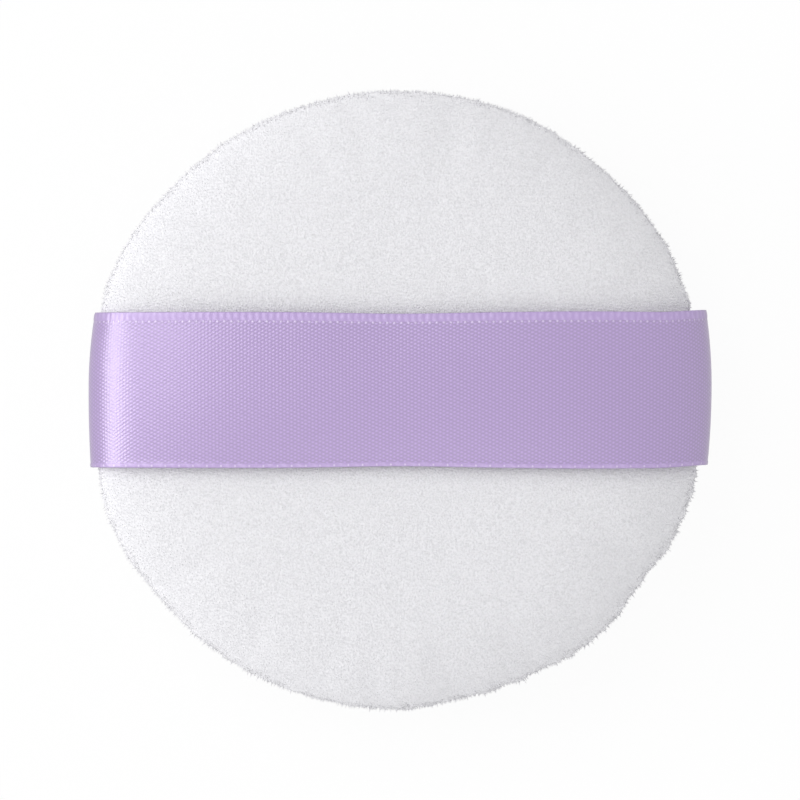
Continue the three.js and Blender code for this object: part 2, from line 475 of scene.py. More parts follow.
def pile_material(finishes):
    """Cut pile, with painted shade that dims it from the tips down to the ground cloth's colour, and a little
    change from tuft to tuft.
    """
    material, make = new_material("Velour Pile")
    tip = make("ShaderNodeAttribute", attribute_name="tip").outputs["Fac"]
    tuft = make("ShaderNodeAttribute", attribute_name="tuft_shade").outputs["Fac"]
    # Painted shade: each tuft darkens from its tip down towards the ground cloth's colour.
    pile_with_painted_root_shade = mixed(make, tip, rgba(finishes.ground), rgba(finishes.pile))
    toned = mixed(make, tuft, (0.95, 0.95, 0.95, 1), (1, 1, 1, 1))
    tufted = mixed(make, 1.0, pile_with_painted_root_shade, toned, blend="MULTIPLY")
    finished(make, {"Base Color": brushed(make, finishes, tufted), "Roughness": 0.9, **VELOUR})
    return material


def ground_material(finishes):
    """The dense base of the pile: fine tufted grain in clumps, with slight painted shade in the grain's
    hollows on its flatter parts and the ground cloth's colour between the tufts.
    """
    material, make = new_material("Velour Ground")
    calc = calculator(make)
    place = make("ShaderNodeTexCoord").outputs
    tufts = cells(make, place["Object"], 3800.0)
    grain = clouds(make, place["Object"], 3600.0, 4.0, roughness=0.65)
    height = calc("SUBTRACT", calc("MULTIPLY", grain, 1.6), calc("MULTIPLY", tufts, 0.6))
    base = brushed(make, finishes, rgba(finishes.pile))
    rise = make("ShaderNodeSeparateXYZ", {"Vector": place["Normal"]}).outputs["Z"]
    flat = ranged(make, calc("ABSOLUTE", rise), 0.5, 0.95)
    # Painted shade: the grain's low spots are darkened in the colour, only where the surface faces up or
    # down.
    depth = calc("MULTIPLY", ranged(make, grain, 0.56, 0.36), flat)
    base_with_painted_shade = mixed(make, depth, base, rgba(finishes.ground, 0.85))
    colour = mixed(make, calc("MULTIPLY", tufts, 0.35, clamp=True), base_with_painted_shade, rgba(finishes.ground))
    normal = bumped(make, height, 1.0, 0.1 * MM)
    finished(make, {"Base Color": colour, "Roughness": 0.92, "Normal": normal, **VELOUR})
    return material


def foam_material(finishes):
    """Open-cell foam: pores of two sizes, with painted shade in their hollows."""
    material, make = new_material("Open Cell Foam")
    coordinates = make("ShaderNodeTexCoord").outputs["Object"]
    calc = calculator(make)
    small = cells(make, coordinates, 3300.0)
    pores = calc("ADD", cells(make, coordinates, 1300.0), calc("MULTIPLY", small, 0.5))
    base = mottled(make, coordinates, rgba(finishes.foam), rgba(finishes.foam, 0.9), 90.0, 700.0, 0.7)
    # Painted shade: the colour darkens with the pore pattern.
    colour = mixed(make, calc("MULTIPLY", pores, 0.35, clamp=True), base, rgba(finishes.foam, 0.6))
    normal = bumped(make, pores, 0.8, 0.2 * MM)
    finished(make, {"Base Color": colour, "Roughness": 0.95, "Specular IOR Level": 0.2, "Normal": normal})
    return material


def satin_material(name, finishes, sizes, shine, tint):
    """Warp-faced satin on the ribbon's own lattice, with softly barred selvedges stitched by pale loops,
    painted shade in the hollows between its floats and painted shade where it turns away from the view.
    """
    material, make = new_material(name)
    calc = calculator(make)

    def dyed(share, white=0.0):
        """The ribbon's colour, dimmed to a share and paled with white."""
        return rgba([channel * share + white for channel in finishes.satin], tint)

    coordinates = make("ShaderNodeTexCoord").outputs["Object"]
    lattice = make("ShaderNodeUVMap", uv_map="lattice").outputs["UV"]
    weave = weave_node(make, lattice)
    place = make("ShaderNodeSeparateXYZ", {"Vector": lattice}).outputs
    upper_foot = (RIBBON_WIDTH - sizes.upper_selvedge) / sizes.binding_spacing
    lower_foot = sizes.lower_selvedge / sizes.binding_spacing
    upper = calc("GREATER_THAN", place["Y"], upper_foot)
    lower = calc("LESS_THAN", place["Y"], lower_foot)
    selvedge = calc("MAXIMUM", upper, lower)
    uneven_yarn = clouds(make, lattice, 0.9, 2.0)
    full_yarn = ranged(make, uneven_yarn, 0.3, 0.65)
    upper_turn = calc("MULTIPLY", place["X"], math.pi)
    lower_turn = calc("MULTIPLY", calc("ADD", place["X"], calc("MULTIPLY", place["Y"], 1.5)), math.pi / 2)
    upper_bars = calc("MULTIPLY", calc("ADD", calc("SINE", upper_turn), 1.0), upper)
    lower_bars = calc("MULTIPLY", calc("ADD", calc("SINE", lower_turn), 1.0), lower)
    bars = calc("MULTIPLY", calc("MULTIPLY", calc("ADD", upper_bars, lower_bars), full_yarn), 0.5)
    upper_loops = loop_row(make, place, height=upper_foot - 0.3, pitch=2.0, size=0.32)
    lower_loops = loop_row(make, place, height=lower_foot * 0.45, pitch=4.0, size=0.32)
    loops = calc("MAXIMUM", upper_loops, lower_loops)

    base = mottled(make, coordinates, dyed(1.0), dyed(0.95), coarse=60.0, fine=500.0, amount=0.6)
    fullness = calc("ADD", calc("MULTIPLY", full_yarn, 0.3), 0.75)
    # Painted shade: the hollows between the weave's floats are darkened in the colour, and the floats are
    # kept at the base colour.
    painted_weave_shade_mask = calc("MULTIPLY", weave["Floats"], fullness, clamp=True)
    woven = mixed(make, selvedge, mixed(make, painted_weave_shade_mask, dyed(0.62), base), dyed(0.82))
    barred = mixed(make, calc("MULTIPLY", bars, selvedge), woven, dyed(0.85, white=0.1))
    shown_loops = calc("MULTIPLY", loops, calc("ADD", uneven_yarn, 0.3), clamp=True)
    stitched = mixed(make, shown_loops, barred, dyed(0.65, white=0.35))
    # Painted shade: the colour darkens towards a dim copy of the satin where the surface turns away from the
    # view.
    painted_grazing_shade = calc("POWER", make("ShaderNodeLayerWeight", {"Blend": 0.5}).outputs["Facing"], 2.0)
    relief = calc("MULTIPLY", weave["Height"], calc("SUBTRACT", 1.0, selvedge))
    height = calc("ADD", relief, calc("MULTIPLY", calc("ADD", bars, loops), 0.5))
    warp = make("ShaderNodeTangent", direction_type="UV_MAP", uv_map="lattice")
    finished(
        make,
        {
            "Base Color": mixed(make, painted_grazing_shade, stitched, dyed(0.35)),
            "Roughness": calc("ADD", shine, calc("MULTIPLY", selvedge, 0.12)),
            "Metallic": 0.15,
            "IOR": 1.9,
            "Specular IOR Level": 1.0,
            "Anisotropic": 0.8,
            "Anisotropic Rotation": 0.25,
            "Tangent": warp.outputs["Tangent"],
            "Normal": bumped(make, height, 1.0, 0.03 * MM),
        },
    )
    return material


def loop_row(make, place, height, pitch, size):
    """A row of small stitches along the ribbon: 1 on each stitch and 0 beside it."""
    calc = calculator(make)
    along = calc("SUBTRACT", calc("FRACT", calc("DIVIDE", place["X"], pitch)), 0.5)
    along = calc("MULTIPLY", along, pitch)
    across = calc("SUBTRACT", place["Y"], height)
    away = calc("SQRT", calc("ADD", calc("MULTIPLY", along, along), calc("MULTIPLY", across, across)))
    return ranged(make, away, size * 1.3, size * 0.4, kind="SMOOTHSTEP")


def weave_node(make, lattice):
    """The outputs of the Satin Weave group on a lattice, for a five-end satin."""
    inputs = {"Lattice": lattice, "Step": 0.4, "Ends": 5.0}
    return make("ShaderNodeGroup", inputs, node_tree=shared_group("Satin Weave", woven_group)).outputs


def thread_material(finishes):
    """Spun thread: fuzzy fibres in a slightly uneven colour."""
    material, make = new_material("Sewing Thread")
    calc = calculator(make)
    coordinates = make("ShaderNodeTexCoord").outputs["Object"]
    fuzz = clouds(make, coordinates, 9000.0, 3.0)
    shade = rgba(finishes.thread, 0.85)
    colour = mottled(make, coordinates, rgba(finishes.thread), shade, coarse=400.0, fine=6000.0, amount=0.8)
    roughness = calc("ADD", 0.65, calc("MULTIPLY", fuzz, 0.2))
    normal = bumped(make, fuzz, 0.4, 0.02 * MM)
    finished(make, {"Base Color": colour, "Roughness": roughness, "Normal": normal})
    return material


# The covers: a cloth-simulated ground and the pile that stands on it

def cover_profile(sizes, side):
    """A cover's ground cloth in section: its dome, the curled rim, and the allowance turned in."""
    dome_steps, curl_steps, allowance_steps = 28, 7, 4
    skin_side_inset = 0.3 * MM
    radius = PUFF_RADIUS + PILE_PROUD - sizes.pile_length
    if side < 0:
        radius -= skin_side_inset
    crown = HALF_THICKNESS - sizes.pile_length
    points = [(out, up, 1.0) for out, up in dome(radius, BULGE_HEIGHT, crown, dome_steps)]
    for i in range(1, curl_steps + 1):
        turn = math.pi / 2 * i / curl_steps
        out = radius - RIM_INSET * (1 - math.cos(turn))
        up = BULGE_HEIGHT - (BULGE_HEIGHT - SEAM_GAP / 2) * math.sin(turn)
        points.append((out, up, 1 - (1 - SEAM_SHARE) * i / curl_steps))
    seam_radius = radius - RIM_INSET
    for i in range(1, allowance_steps + 1):
        out = seam_radius - (seam_radius - SEAM_RADIUS + ALLOWANCE_WIDTH) * i / allowance_steps
        points.append((out, SEAM_GAP / 2, 0.0))
    return [(out, side * up, share) for out, up, share in points]


def eased(point, side):
    """A cover's point, moved to leave room for the ribbon tails in the seam."""
    beside = smooth_step(1.0 * MM, 0, abs(point.y - RIBBON_SHIFT) - RIBBON_WIDTH / 2)
    along = smooth_step(32 * MM, 34 * MM, abs(point.x))
    near_seam = smooth_step(1.2 * MM, 0, abs(point.z))
    lift = 0.12 * MM * beside * along * near_seam
    return Vector((point.x, point.y, point.z + side * lift))


def uneven(point, seed):
    """A point pushed in or out a little, as hand-filled cloth never lies quite even."""
    wave, depth = 11 * MM, 0.0035
    sway = noise.noise(point / wave + Vector((seed, 0, 0)))
    return point * (1 + depth * sway)


def tufted(mesh):
    """Breaks up a cover's cloth with the lumps of its cut pile, most where the brushed nap stands out."""
    normals = [vert.normal.copy() for vert in mesh.vertices]
    shares = mesh.attributes["pile_share"].data
    coarse_lump, fine_lump = 1.1 * MM, 0.45 * MM
    for vert, normal, share in zip(mesh.vertices, normals, shares):
        steep = 1 - normal.z * normal.z
        along_nap = 0.5 + 0.5 * max(normal.dot(NAP), 0)
        coarse = noise.noise(vert.co / coarse_lump)
        fine = noise.noise(vert.co / fine_lump + Vector((9, 4, 2)))
        vert.co += normal * (coarse * 0.6 + fine * 0.4) * LUMP_HEIGHT * steep * along_nap * share.value
    mesh.update()
    return mesh


def swollen(mesh, most):
    """A cover blown out against its filling by a cloth simulation, held at its seam, by most at most."""
    grown, frames = 20, 20
    holder = link("holder", mesh.copy())
    holder.data.transform(Matrix.Scale(grown, 4))
    sewn = holder.vertex_groups.new(name="sewn")
    shares = mesh.attributes["pile_share"].data
    sewn.add([i for i, share in enumerate(shares) if share.value <= SEAM_SHARE + 0.01], 1.0, "REPLACE")
    cloth = holder.modifiers.new("Cloth", "CLOTH")
    cloth.settings.vertex_group_mass = "sewn"
    cloth.settings.use_pressure = True
    cloth.settings.uniform_pressure_force = 4
    cloth.settings.shrink_min = -0.01
    cloth.settings.effector_weights.gravity = 0
    cloth.collision_settings.use_collision = False
    cloth.point_cache.frame_start = 1
    cloth.point_cache.frame_end = frames
    scene = bpy.context.scene
    for i in range(1, frames + 1):
        scene.frame_set(i)
    blown = taken(holder)
    scene.frame_set(1)
    for vert, blown_vert in zip(mesh.vertices, blown.vertices):
        push = blown_vert.co / grown - vert.co
        if push.length > most:
            push = push.normalized() * most
        vert.co += push
    mesh.update()
    return mesh


def pressed(mesh, sizes):
    """Flattens the skin side's cloth where its pressed pile lies on the floor."""
    lowest = 0.5 * sizes.pile_length - SEAM_Z
    return moved(mesh, lambda point: Vector((point.x, point.y, max(point.z, lowest))))


def tail_pressed(mesh):
    """Shortens the pile where a ribbon tail comes out over it."""
    shares = mesh.attributes["pile_share"].data
    for vert in mesh.vertices:
        beside = smooth_step(1.5 * MM, 0, abs(vert.co.y - RIBBON_SHIFT) - RIBBON_WIDTH / 2)
        out = smooth_step(36 * MM, 38 * MM, abs(vert.co.x))
        shares[vert.index].value *= 1 - 0.45 * beside * out
    return mesh


def pile_tree():
    """Geometry nodes that stand tufts of pile on a cover, inside one sector and between two heights."""
    tree = bpy.data.node_groups.new("Pile", "GeometryNodeTree")
    tree.interface.new_socket("Geometry", in_out="INPUT", socket_type="NodeSocketGeometry")
    sector = ("From", "To", "Steep", "Low", "High")
    tuft = ("Spacing", "Radius", "Length", "Lean", "Clumping", "Ragged")
    for name in (*sector, *tuft):
        tree.interface.new_socket(name, in_out="INPUT", socket_type="NodeSocketFloat")
    tree.interface.new_socket("Seed", in_out="INPUT", socket_type="NodeSocketInt")
    tree.interface.new_socket("Geometry", in_out="OUTPUT", socket_type="NodeSocketGeometry")
    make = node_maker(tree)
    calc = calculator(make)
    given = make("NodeGroupInput").outputs

    def vector(operation, *values, **named):
        inputs = {**dict(enumerate(values)), **named}
        return make("ShaderNodeVectorMath", inputs, operation=operation).outputs["Vector"]

    def random(low, high, offset):
        seed = make("FunctionNodeIntegerMath", {0: given["Seed"], 1: offset}, operation="ADD").outputs[0]
        node = make("FunctionNodeRandomValue", {2: low, 3: high, "Seed": seed}, data_type="FLOAT")
        return node.outputs[1]

    def stored(geometry, name, value):
        inputs = {"Geometry": geometry, "Name": name, "Value": value}
        node = make("GeometryNodeStoreNamedAttribute", inputs, data_type="FLOAT", domain="POINT")
        return node.outputs["Geometry"]

    crowding, least_share, least_length = 2.4, 0.08, 0.05 * MM
    share_node = make("GeometryNodeInputNamedAttribute", {"Name": "pile_share"}, data_type="FLOAT")
    share = share_node.outputs["Attribute"]
    normal = make("GeometryNodeInputNormal").outputs["Normal"]
    facing = make("ShaderNodeSeparateXYZ", {"Vector": normal}).outputs["Z"]
    steep = calc("LESS_THAN", calc("ABSOLUTE", facing), given["Steep"])
    density = calc("DIVIDE", crowding, calc("POWER", given["Spacing"], 2.0))
    scatter = make(
        "GeometryNodeDistributePointsOnFaces",
        {
            "Mesh": given["Geometry"],
            "Distance Min": given["Spacing"],
            "Density Max": density,
            "Density Factor": calc("MULTIPLY", calc("GREATER_THAN", share, least_share), steep),
            "Seed": given["Seed"],
        },
        distribute_method="POISSON",
    )
    place = make("GeometryNodeInputPosition").outputs["Position"]
    spot = make("ShaderNodeSeparateXYZ", {"Vector": place}).outputs
    angle = calc("ARCTAN2", spot["Y"], spot["X"])
    inside = make(
        "FunctionNodeBooleanMath",
        {0: calc("GREATER_THAN", angle, given["From"]), 1: calc("LESS_THAN", angle, given["To"])},
        operation="AND",
    ).outputs[0]

    clumps = make("ShaderNodeTexNoise", {"Vector": place, "Scale": 800.0, "Detail": 1.0}).outputs["Color"]
    clump_push = vector("SCALE", vector("SUBTRACT", clumps, (0.5, 0.5, 0.5)), Scale=given["Clumping"])
    stray = make(
        "ShaderNodeCombineXYZ", {axis: random(-0.3, 0.3, offset) for axis, offset in zip("XYZ", (1, 2, 3))}
    ).outputs["Vector"]
    nap = vector("SCALE", NAP, Scale=given["Lean"])
    leaning = vector("ADD", vector("ADD", scatter.outputs["Normal"], nap), vector("ADD", clump_push, stray))
    direction = vector("NORMALIZE", leaning)
    rise = make("ShaderNodeSeparateXYZ", {"Vector": direction}).outputs["Z"]

    patches = clouds(make, place, 900.0, 2.0)
    ragged = calc("ADD", 1.0, calc("MULTIPLY", calc("SUBTRACT", patches, 0.5), given["Ragged"]))
    length = calc("MULTIPLY", calc("MULTIPLY", given["Length"], share), random(0.84, 1.1, 4))
    length = calc("MULTIPLY", length, ragged)
    down = calc("DIVIDE", calc("SUBTRACT", given["Low"], spot["Z"]), calc("MINIMUM", rise, -0.001))
    up = calc("DIVIDE", calc("SUBTRACT", given["High"], spot["Z"]), calc("MAXIMUM", rise, 0.001))
    length = calc("MINIMUM", length, calc("MINIMUM", down, up))
    length = calc("MAXIMUM", length, least_length)
    width = calc("MULTIPLY", given["Radius"], random(0.8, 1.15, 5))

    cone = make(
        "GeometryNodeMeshCone",
        {"Vertices": 3, "Radius Top": 0.0, "Radius Bottom": 1.0, "Depth": 1.0},
        fill_type="NGON",
    ).outputs["Mesh"]
    tip = stored(cone, "tip", spot["Z"])
    toned = stored(scatter.outputs["Points"], "tuft_shade", random(0.0, 1.0, 6))
    aimed = make("FunctionNodeAlignRotationToVector", {"Vector": direction}, axis="Z").outputs["Rotation"]
    spin = make(
        "FunctionNodeAxisAngleToRotation", {"Axis": (0.0, 0.0, 1.0), "Angle": random(0.0, math.tau, 7)}
    ).outputs["Rotation"]
    turned = make(
        "FunctionNodeRotateRotation", {"Rotation": aimed, "Rotate By": spin}, rotation_space="LOCAL"
    ).outputs["Rotation"]
    size = make("ShaderNodeCombineXYZ", {"X": width, "Y": width, "Z": length}).outputs["Vector"]
    tufts = make(
        "GeometryNodeInstanceOnPoints",
        {"Points": toned, "Selection": inside, "Instance": tip, "Rotation": turned, "Scale": size},
    ).outputs["Instances"]
    real = make("GeometryNodeRealizeInstances", {"Geometry": tufts}).outputs["Geometry"]
    smooth = make("GeometryNodeSetShadeSmooth", {"Geometry": real}).outputs["Geometry"]
    make("NodeGroupOutput", {"Geometry": smooth})
    return tree


def grown_pile(surface, settings):
    """The tufts that the Pile nodes stand on a surface, with these values for their inputs."""
    tree = bpy.data.node_groups.get("Pile") or pile_tree()
    holder = link("holder", surface.copy())
    modifier = holder.modifiers.new("Pile", "NODES")
    modifier.node_group = tree
    for item in tree.interface.items_tree:
        if item.in_out == "INPUT" and item.name in settings:
            modifier[item.identifier] = settings[item.name]
    holder.update_tag()
    return taken(holder)


def make_cover(node, side, seed, sizes, materials):
    """One cover: its cloth, the sectors of its pile and the ragged tufts round its rim."""
    ground, pile = materials
    surface = spun(node, cover_profile(sizes, side), ROUND_STEPS)
    moved(surface, lambda point: uneven(eased(drawn_in(point), side), seed))
    swollen(surface, sizes.swelling)
    if side < 0:
        pressed(surface, sizes)
    surface = smoothed(surface)
    tufted(tail_pressed(surface))

    room = 0.02 * MM
    common = {
        "Lean": sizes.nap_lean,
        "Low": room if side > 0 else room - SEAM_Z,
        "High": 1.0 if side > 0 else -room,
    }
    dense = {
        "Spacing": sizes.tuft_spacing,
        "Radius": sizes.tuft_radius,
        "Length": sizes.pile_length,
        "Clumping": 1.6,
        "Steep": 2.0,
        "Ragged": 0.6,
        "Seed": seed,
    }
    growths = {}
    for i in range(PILE_SECTORS):
        sector = {
            "From": -math.pi + math.tau * i / PILE_SECTORS,
            "To": -math.pi + math.tau * (i + 1) / PILE_SECTORS,
        }
        growths[f"{node}_pile_{i + 1}"] = {**dense, **sector}
    growths[f"{node}_rim_tufts"] = {
        "From": -4.0,
        "To": 4.0,
        "Spacing": 0.5 * MM,
        "Radius": sizes.tuft_radius * 2.4,
        "Length": sizes.rim_tuft_length,
        "Clumping": 2.0,
        "Steep": 0.6,
        "Ragged": 2.6,
        "Seed": seed + 50,
    }
    for name, growth in growths.items():
        piece = link(name, settled(grown_pile(surface, {**common, **growth})), pile)
        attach(piece, "puff")

    cloth = with_modifier(
        surface, "SOLIDIFY", thickness=sizes.ground_thickness, offset=-1, use_even_offset=True
    )
    piece = link(f"{node}_cloth", settled(cloth), ground)
    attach(piece, "puff")
    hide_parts(node)


# The foam pad

def foam_profile():
    """The pad in section: domed on both sides, and grooved at its edge for the turned-in allowances."""
    groove_end = SEAM_RADIUS - ALLOWANCE_WIDTH - 0.3 * MM
    upper = dome(FOAM_RADIUS, GROOVE_HEIGHT + 0.2 * MM, FOAM_RISE, 20)
    mouth = [(FOAM_RADIUS - 0.3 * MM, GROOVE_HEIGHT), (groove_end + 0.4 * MM, GROOVE_HEIGHT)]
    end = [(groove_end, GROOVE_HEIGHT - 0.4 * MM), (groove_end, 0)]
    top = [*upper, *mouth, *end]
    bottom = [(out, -up) for out, up in reversed(top[:-1])]
    return [(out, up, 0.0) for out, up in (*top, *bottom)]


# The finger ribbon

def ribbon_line():
    """The ribbon's middle line from one cut end to the other, as (x, z) points above the seam plane."""
    bend = 1.5 * MM
    arch_power = 4
    camber_room = 0.2 * MM
    end_room = 0.2 * MM
    tail_steps, bend_steps, arch_steps = 12, 16, 240
    crown = RIBBON_HIGH.z - SEAM_Z - camber_room
    reach = RIBBON_REACH - end_room
    tail = drawn_in(Vector((SEAM_RADIUS - ALLOWANCE_WIDTH, RIBBON_SHIFT, 0))).x
    half = [(tail + (reach - bend - tail) * i / tail_steps, 0.0) for i in range(tail_steps)]
    for i in range(bend_steps + 1):
        turn = math.pi / 2 * i / bend_steps
        half.append((reach - bend + bend * math.sin(turn), bend * (1 - math.cos(turn))))
    for i in range(1, arch_steps + 1):
        turn = math.pi / 2 * i / arch_steps
        out = max(math.cos(turn), 0) ** (2 / arch_power)
        half.append((reach * out, bend + (crown - bend) * math.sin(turn)))
    return [(-x, z) for x, z in half] + list(reversed(half[:-1]))


def even_steps(line, count):
    """Places at even distances along a line, each with its distance and its outward direction."""
    points = [Vector((x, 0, z)) for x, z in line]
    runs = [0.0]
    for a, b in zip(points, points[1:]):
        runs.append(runs[-1] + (b - a).length)
    total = runs[-1]
    places = []
    i = 0
    for step in range(count + 1):
        distance = total * step / count
        while i < len(runs) - 2 and runs[i + 1] < distance:
            i += 1
        share = (distance - runs[i]) / (runs[i + 1] - runs[i])
        along = (points[min(i + 2, len(points) - 1)] - points[max(i - 1, 0)]).normalized()
        places.append((points[i].lerp(points[i + 1], share), distance, Vector((-along.z, 0, along.x))))
    return places, total


def ribbon_rows(sizes):
    """Heights across the ribbon, from its lower edge to its upper, closer together in the selvedges."""
    lows, middles, highs = 5, 26, 8
    lower = [sizes.lower_selvedge * i / lows for i in range(lows)]
    middle_width = RIBBON_WIDTH - sizes.lower_selvedge - sizes.upper_selvedge
    middle = [sizes.lower_selvedge + middle_width * i / middles for i in range(middles)]
    upper = [RIBBON_WIDTH - sizes.upper_selvedge * (highs - i) / highs for i in range(highs + 1)]
    return [*lower, *middle, *upper]


def selvedge_relief(distance, height, sizes):
    """How far the ribbon's surface stands out at its selvedges: a rounded cord with a bar at each loop."""
    cord, bar_height = 0.04, 0.014
    from_top = RIBBON_WIDTH - height
    if from_top < sizes.upper_selvedge:
        share = from_top / sizes.upper_selvedge
        bar = math.sin(math.pi * distance / sizes.pick_spacing)
    elif height < sizes.lower_selvedge:
        share = height / sizes.lower_selvedge
        turn = distance / sizes.pick_spacing + 1.5 * height / sizes.binding_spacing
        bar = math.sin(math.pi / 2 * turn)
    else:
        return 0.0
    return math.sin(math.pi * share) * (cord + bar_height * bar) * MM


def ribbon_mesh(sizes):
    """The woven ribbon as one sheet along its middle line, with its lattice of picks and bindings."""
    rows = ribbon_rows(sizes)
    columns = 840
    places, total = even_steps(ribbon_line(), columns)
    bm = bmesh.new()
    bmesh.ops.create_grid(bm, x_segments=columns, y_segments=len(rows) - 1, size=0.5)
    lattice = bm.loops.layers.uv.new("lattice")
    spots = {}
    for vert in bm.verts:
        place, distance, out = places[round((vert.co.x + 0.5) * columns)]
        height = rows[round((vert.co.y + 0.5) * (len(rows) - 1))]
        spots[vert] = (distance / sizes.pick_spacing, height / sizes.binding_spacing)
        vert.co = ribbon_point(place, out, distance, height, sizes)
    for face in bm.faces:
        for loop in face.loops:
            loop[lattice].uv = spots[loop.vert]
    if sum(face.normal.z * face.calc_area() for face in bm.faces) < 0:
        bmesh.ops.reverse_faces(bm, faces=bm.faces[:])
    mesh = bpy.data.meshes.new("finger_ribbon_satin")
    bm.to_mesh(mesh)
    bm.free()
    mesh.shade_smooth()
    return mesh, total


def ribbon_point(place, out, distance, height, sizes):
    """A point of the ribbon: bowed at its ends, cambered over its arch and thick at its selvedges."""
    across = 2 * height / RIBBON_WIDTH - 1
    end_bow = {
        (False, True): 0.85,
        (False, False): 0.3,
        (True, True): 0.7,
        (True, False): 0.55,
    }[(place.x > 0, across > 0)]
    out_share = abs(place.x / RIBBON_REACH) ** 8
    up_share = max(place.z / (RIBBON_HIGH.z - SEAM_Z), 0) ** 4
    pinch = 0.022 * math.exp(-((place.x / (10 * MM)) ** 2))
    spread = 0.008 * math.exp(-(((place.x - 25 * MM) / (9 * MM)) ** 2))
    narrow = 1 - pinch + spread
    skew = 0.35 * MM * smooth_step(33 * MM, 41 * MM, place.x)
    point = place + out * selvedge_relief(distance, height, sizes)
    point.x -= math.copysign(end_bow * MM * across * across * out_share, place.x)
    point.z += sizes.camber * up_share * (0.25 - across * across)
    point.y = RIBBON_SHIFT + skew + (height - RIBBON_WIDTH / 2) * narrow
    ripple = noise.noise(Vector((place.x / (14 * MM), point.y / (9 * MM), 4.7)))
    return point + out * ripple * 0.12 * MM * min(max(place.z / (4 * MM), 0), 1)


# The sewing threads

def stitched_line(start, end, radius, stitches, height_at):
    """Points of a line of stitches round the rim."""
    steps_per_stitch = 24
    points = []
    count = stitches * steps_per_stitch
    for i in range(count + 1):
        angle = start + (end - start) * i / count
        flat = drawn_in(Vector((radius * math.cos(angle), radius * math.sin(angle), 0)))
        points.append(Vector((flat.x, flat.y, height_at(i / steps_per_stitch * math.tau))))
    return points


def twisted(name, points, radius, material, node):
    """A two-ply thread along a line: two strands wound round each other."""
    pitch = 1.1 * MM
    curve = bpy.data.curves.new(name, "CURVE")
    curve.dimensions = "3D"
    curve.bevel_depth = radius * 0.52
    curve.bevel_resolution = 1
    curve.use_fill_caps = True
    for ply in range(2):
        spline = curve.splines.new("POLY")
        spline.points.add(len(points) - 1)
        run = 0.0
        for i, point in enumerate(points):
            along = (points[min(i + 1, len(points) - 1)] - points[max(i - 1, 0)]).normalized()
            side = along.cross(Vector((0, 0, 1))).normalized()
            over = side.cross(along)
            if i:
                run += (point - points[i - 1]).length
            turn = math.tau * run / pitch + math.pi * ply
            strand = point + (side * math.cos(turn) + over * math.sin(turn)) * radius * 0.48
            spline.points[i].co = (*strand, 1)
    mesh = taken(link("holder", curve))
    mesh.shade_smooth()
    piece = link(name, settled(mesh), material)
    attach(piece, "puff")
    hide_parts(node)


# The operators, one for each piece or group of like pieces

class MakeStudio(bpy.types.Operator):
    """Make the white floor, the lamps and the camera straight above the puff"""

    bl_idname = "powder_puff.make_studio"
    bl_label = "Make Studio"

    def execute(self, context):
        studio = context.scene.puff_studio
        scene = context.scene
        scene.view_settings.view_transform = "Standard"

        camera_data = bpy.data.cameras.new("Camera")
        camera_data.sensor_width = 36
        rim_height = SEAM_Z + BULGE_HEIGHT
        camera_data.lens = camera_data.sensor_width * studio.camera_height / studio.frame_width
        camera_data.clip_end = 20
        camera = link("Camera", camera_data)
        camera.location = (0, 0, rim_height + studio.camera_height)
        scene.camera = camera

        self.add_lamp("Key Lamp", studio.key_power, azimuth=140, elevation=48, width=0.8)
        self.add_lamp("Side Lamp", studio.side_power, azimuth=177, elevation=19, width=0.5)
        self.add_lamp("Fill Lamp", studio.fill_power, azimuth=272, elevation=38, width=0.6)
        self.light_sky(studio.sky)
        self.lay_floor()
        return {"FINISHED"}

    def add_lamp(self, name, power, azimuth, elevation, width):
        lamp_data = bpy.data.lights.new(name, "AREA")
        lamp_data.energy = power
        lamp_data.shape = "DISK"
        lamp_data.size = width
        lamp = link(name, lamp_data)
        turn, rise = math.radians(azimuth), math.radians(elevation)
        towards = Vector((math.cos(turn) * math.cos(rise), math.sin(turn) * math.cos(rise), math.sin(rise)))
        lamp.location = towards * LAMP_DISTANCE
        lamp.rotation_euler = towards.to_track_quat("Z", "Y").to_euler()

    def seen_directly(self, make):
        """1 for the rays that show the background: camera, glossy and transmission rays."""
        calc = calculator(make)
        path = make("ShaderNodeLightPath").outputs
        seen = calc("MAXIMUM", path["Is Camera Ray"], path["Is Glossy Ray"])
        return calc("MAXIMUM", seen, path["Is Transmission Ray"])

    def light_sky(self, strength):
        world = bpy.data.worlds.new("Sky")
        bpy.context.scene.world = world
        world.use_nodes = True
        tree = world.node_tree
        tree.nodes.clear()
        make = node_maker(tree)
        calc = calculator(make)
        seen = self.seen_directly(make)
        amount = calc("ADD", calc("MULTIPLY", seen, 1 - strength), strength)
        sky = make("ShaderNodeBackground", {"Color": (1, 1, 1, 1), "Strength": amount})
        make("ShaderNodeOutputWorld", {"Surface": sky.outputs["Background"]})

    def lay_floor(self):
        bm = bmesh.new()
        bmesh.ops.create_grid(bm, x_segments=1, y_segments=1, size=FLOOR_REACH)
        mesh = bpy.data.meshes.new("floor")
        bm.to_mesh(mesh)
        bm.free()
        material, make = new_material("White Floor")
        calc = calculator(make)
        paper = make("ShaderNodeBsdfDiffuse", {"Color": (0.95, 0.95, 0.95, 1)})
        glow = make("ShaderNodeEmission", {"Color": (1, 1, 1, 1), "Strength": 1.0})
        seen = self.seen_directly(make)
        blend = make(
            "ShaderNodeMixShader",
            {0: calc("MULTIPLY", seen, FLOOR_GLOW), 1: paper.outputs["BSDF"], 2: glow.outputs["Emission"]},
        )
        make("ShaderNodeOutputMaterial", {"Surface": blend.outputs["Shader"]})
        link("floor", mesh, material)


class MakeCovers(bpy.types.Operator):
    """Make the two velour covers, each a simulated ground cloth with its pile"""

    bl_idname = "powder_puff.make_covers"
    bl_label = "Make Covers"

    def execute(self, context):
        sizes = context.scene.puff_sizes
        finishes = context.scene.puff_finishes
        materials = ground_material(finishes), pile_material(finishes)
        make_cover("back_cover", 1, 3, sizes, materials)
        make_cover("face_cover", -1, 11, sizes, materials)
        return {"FINISHED"}


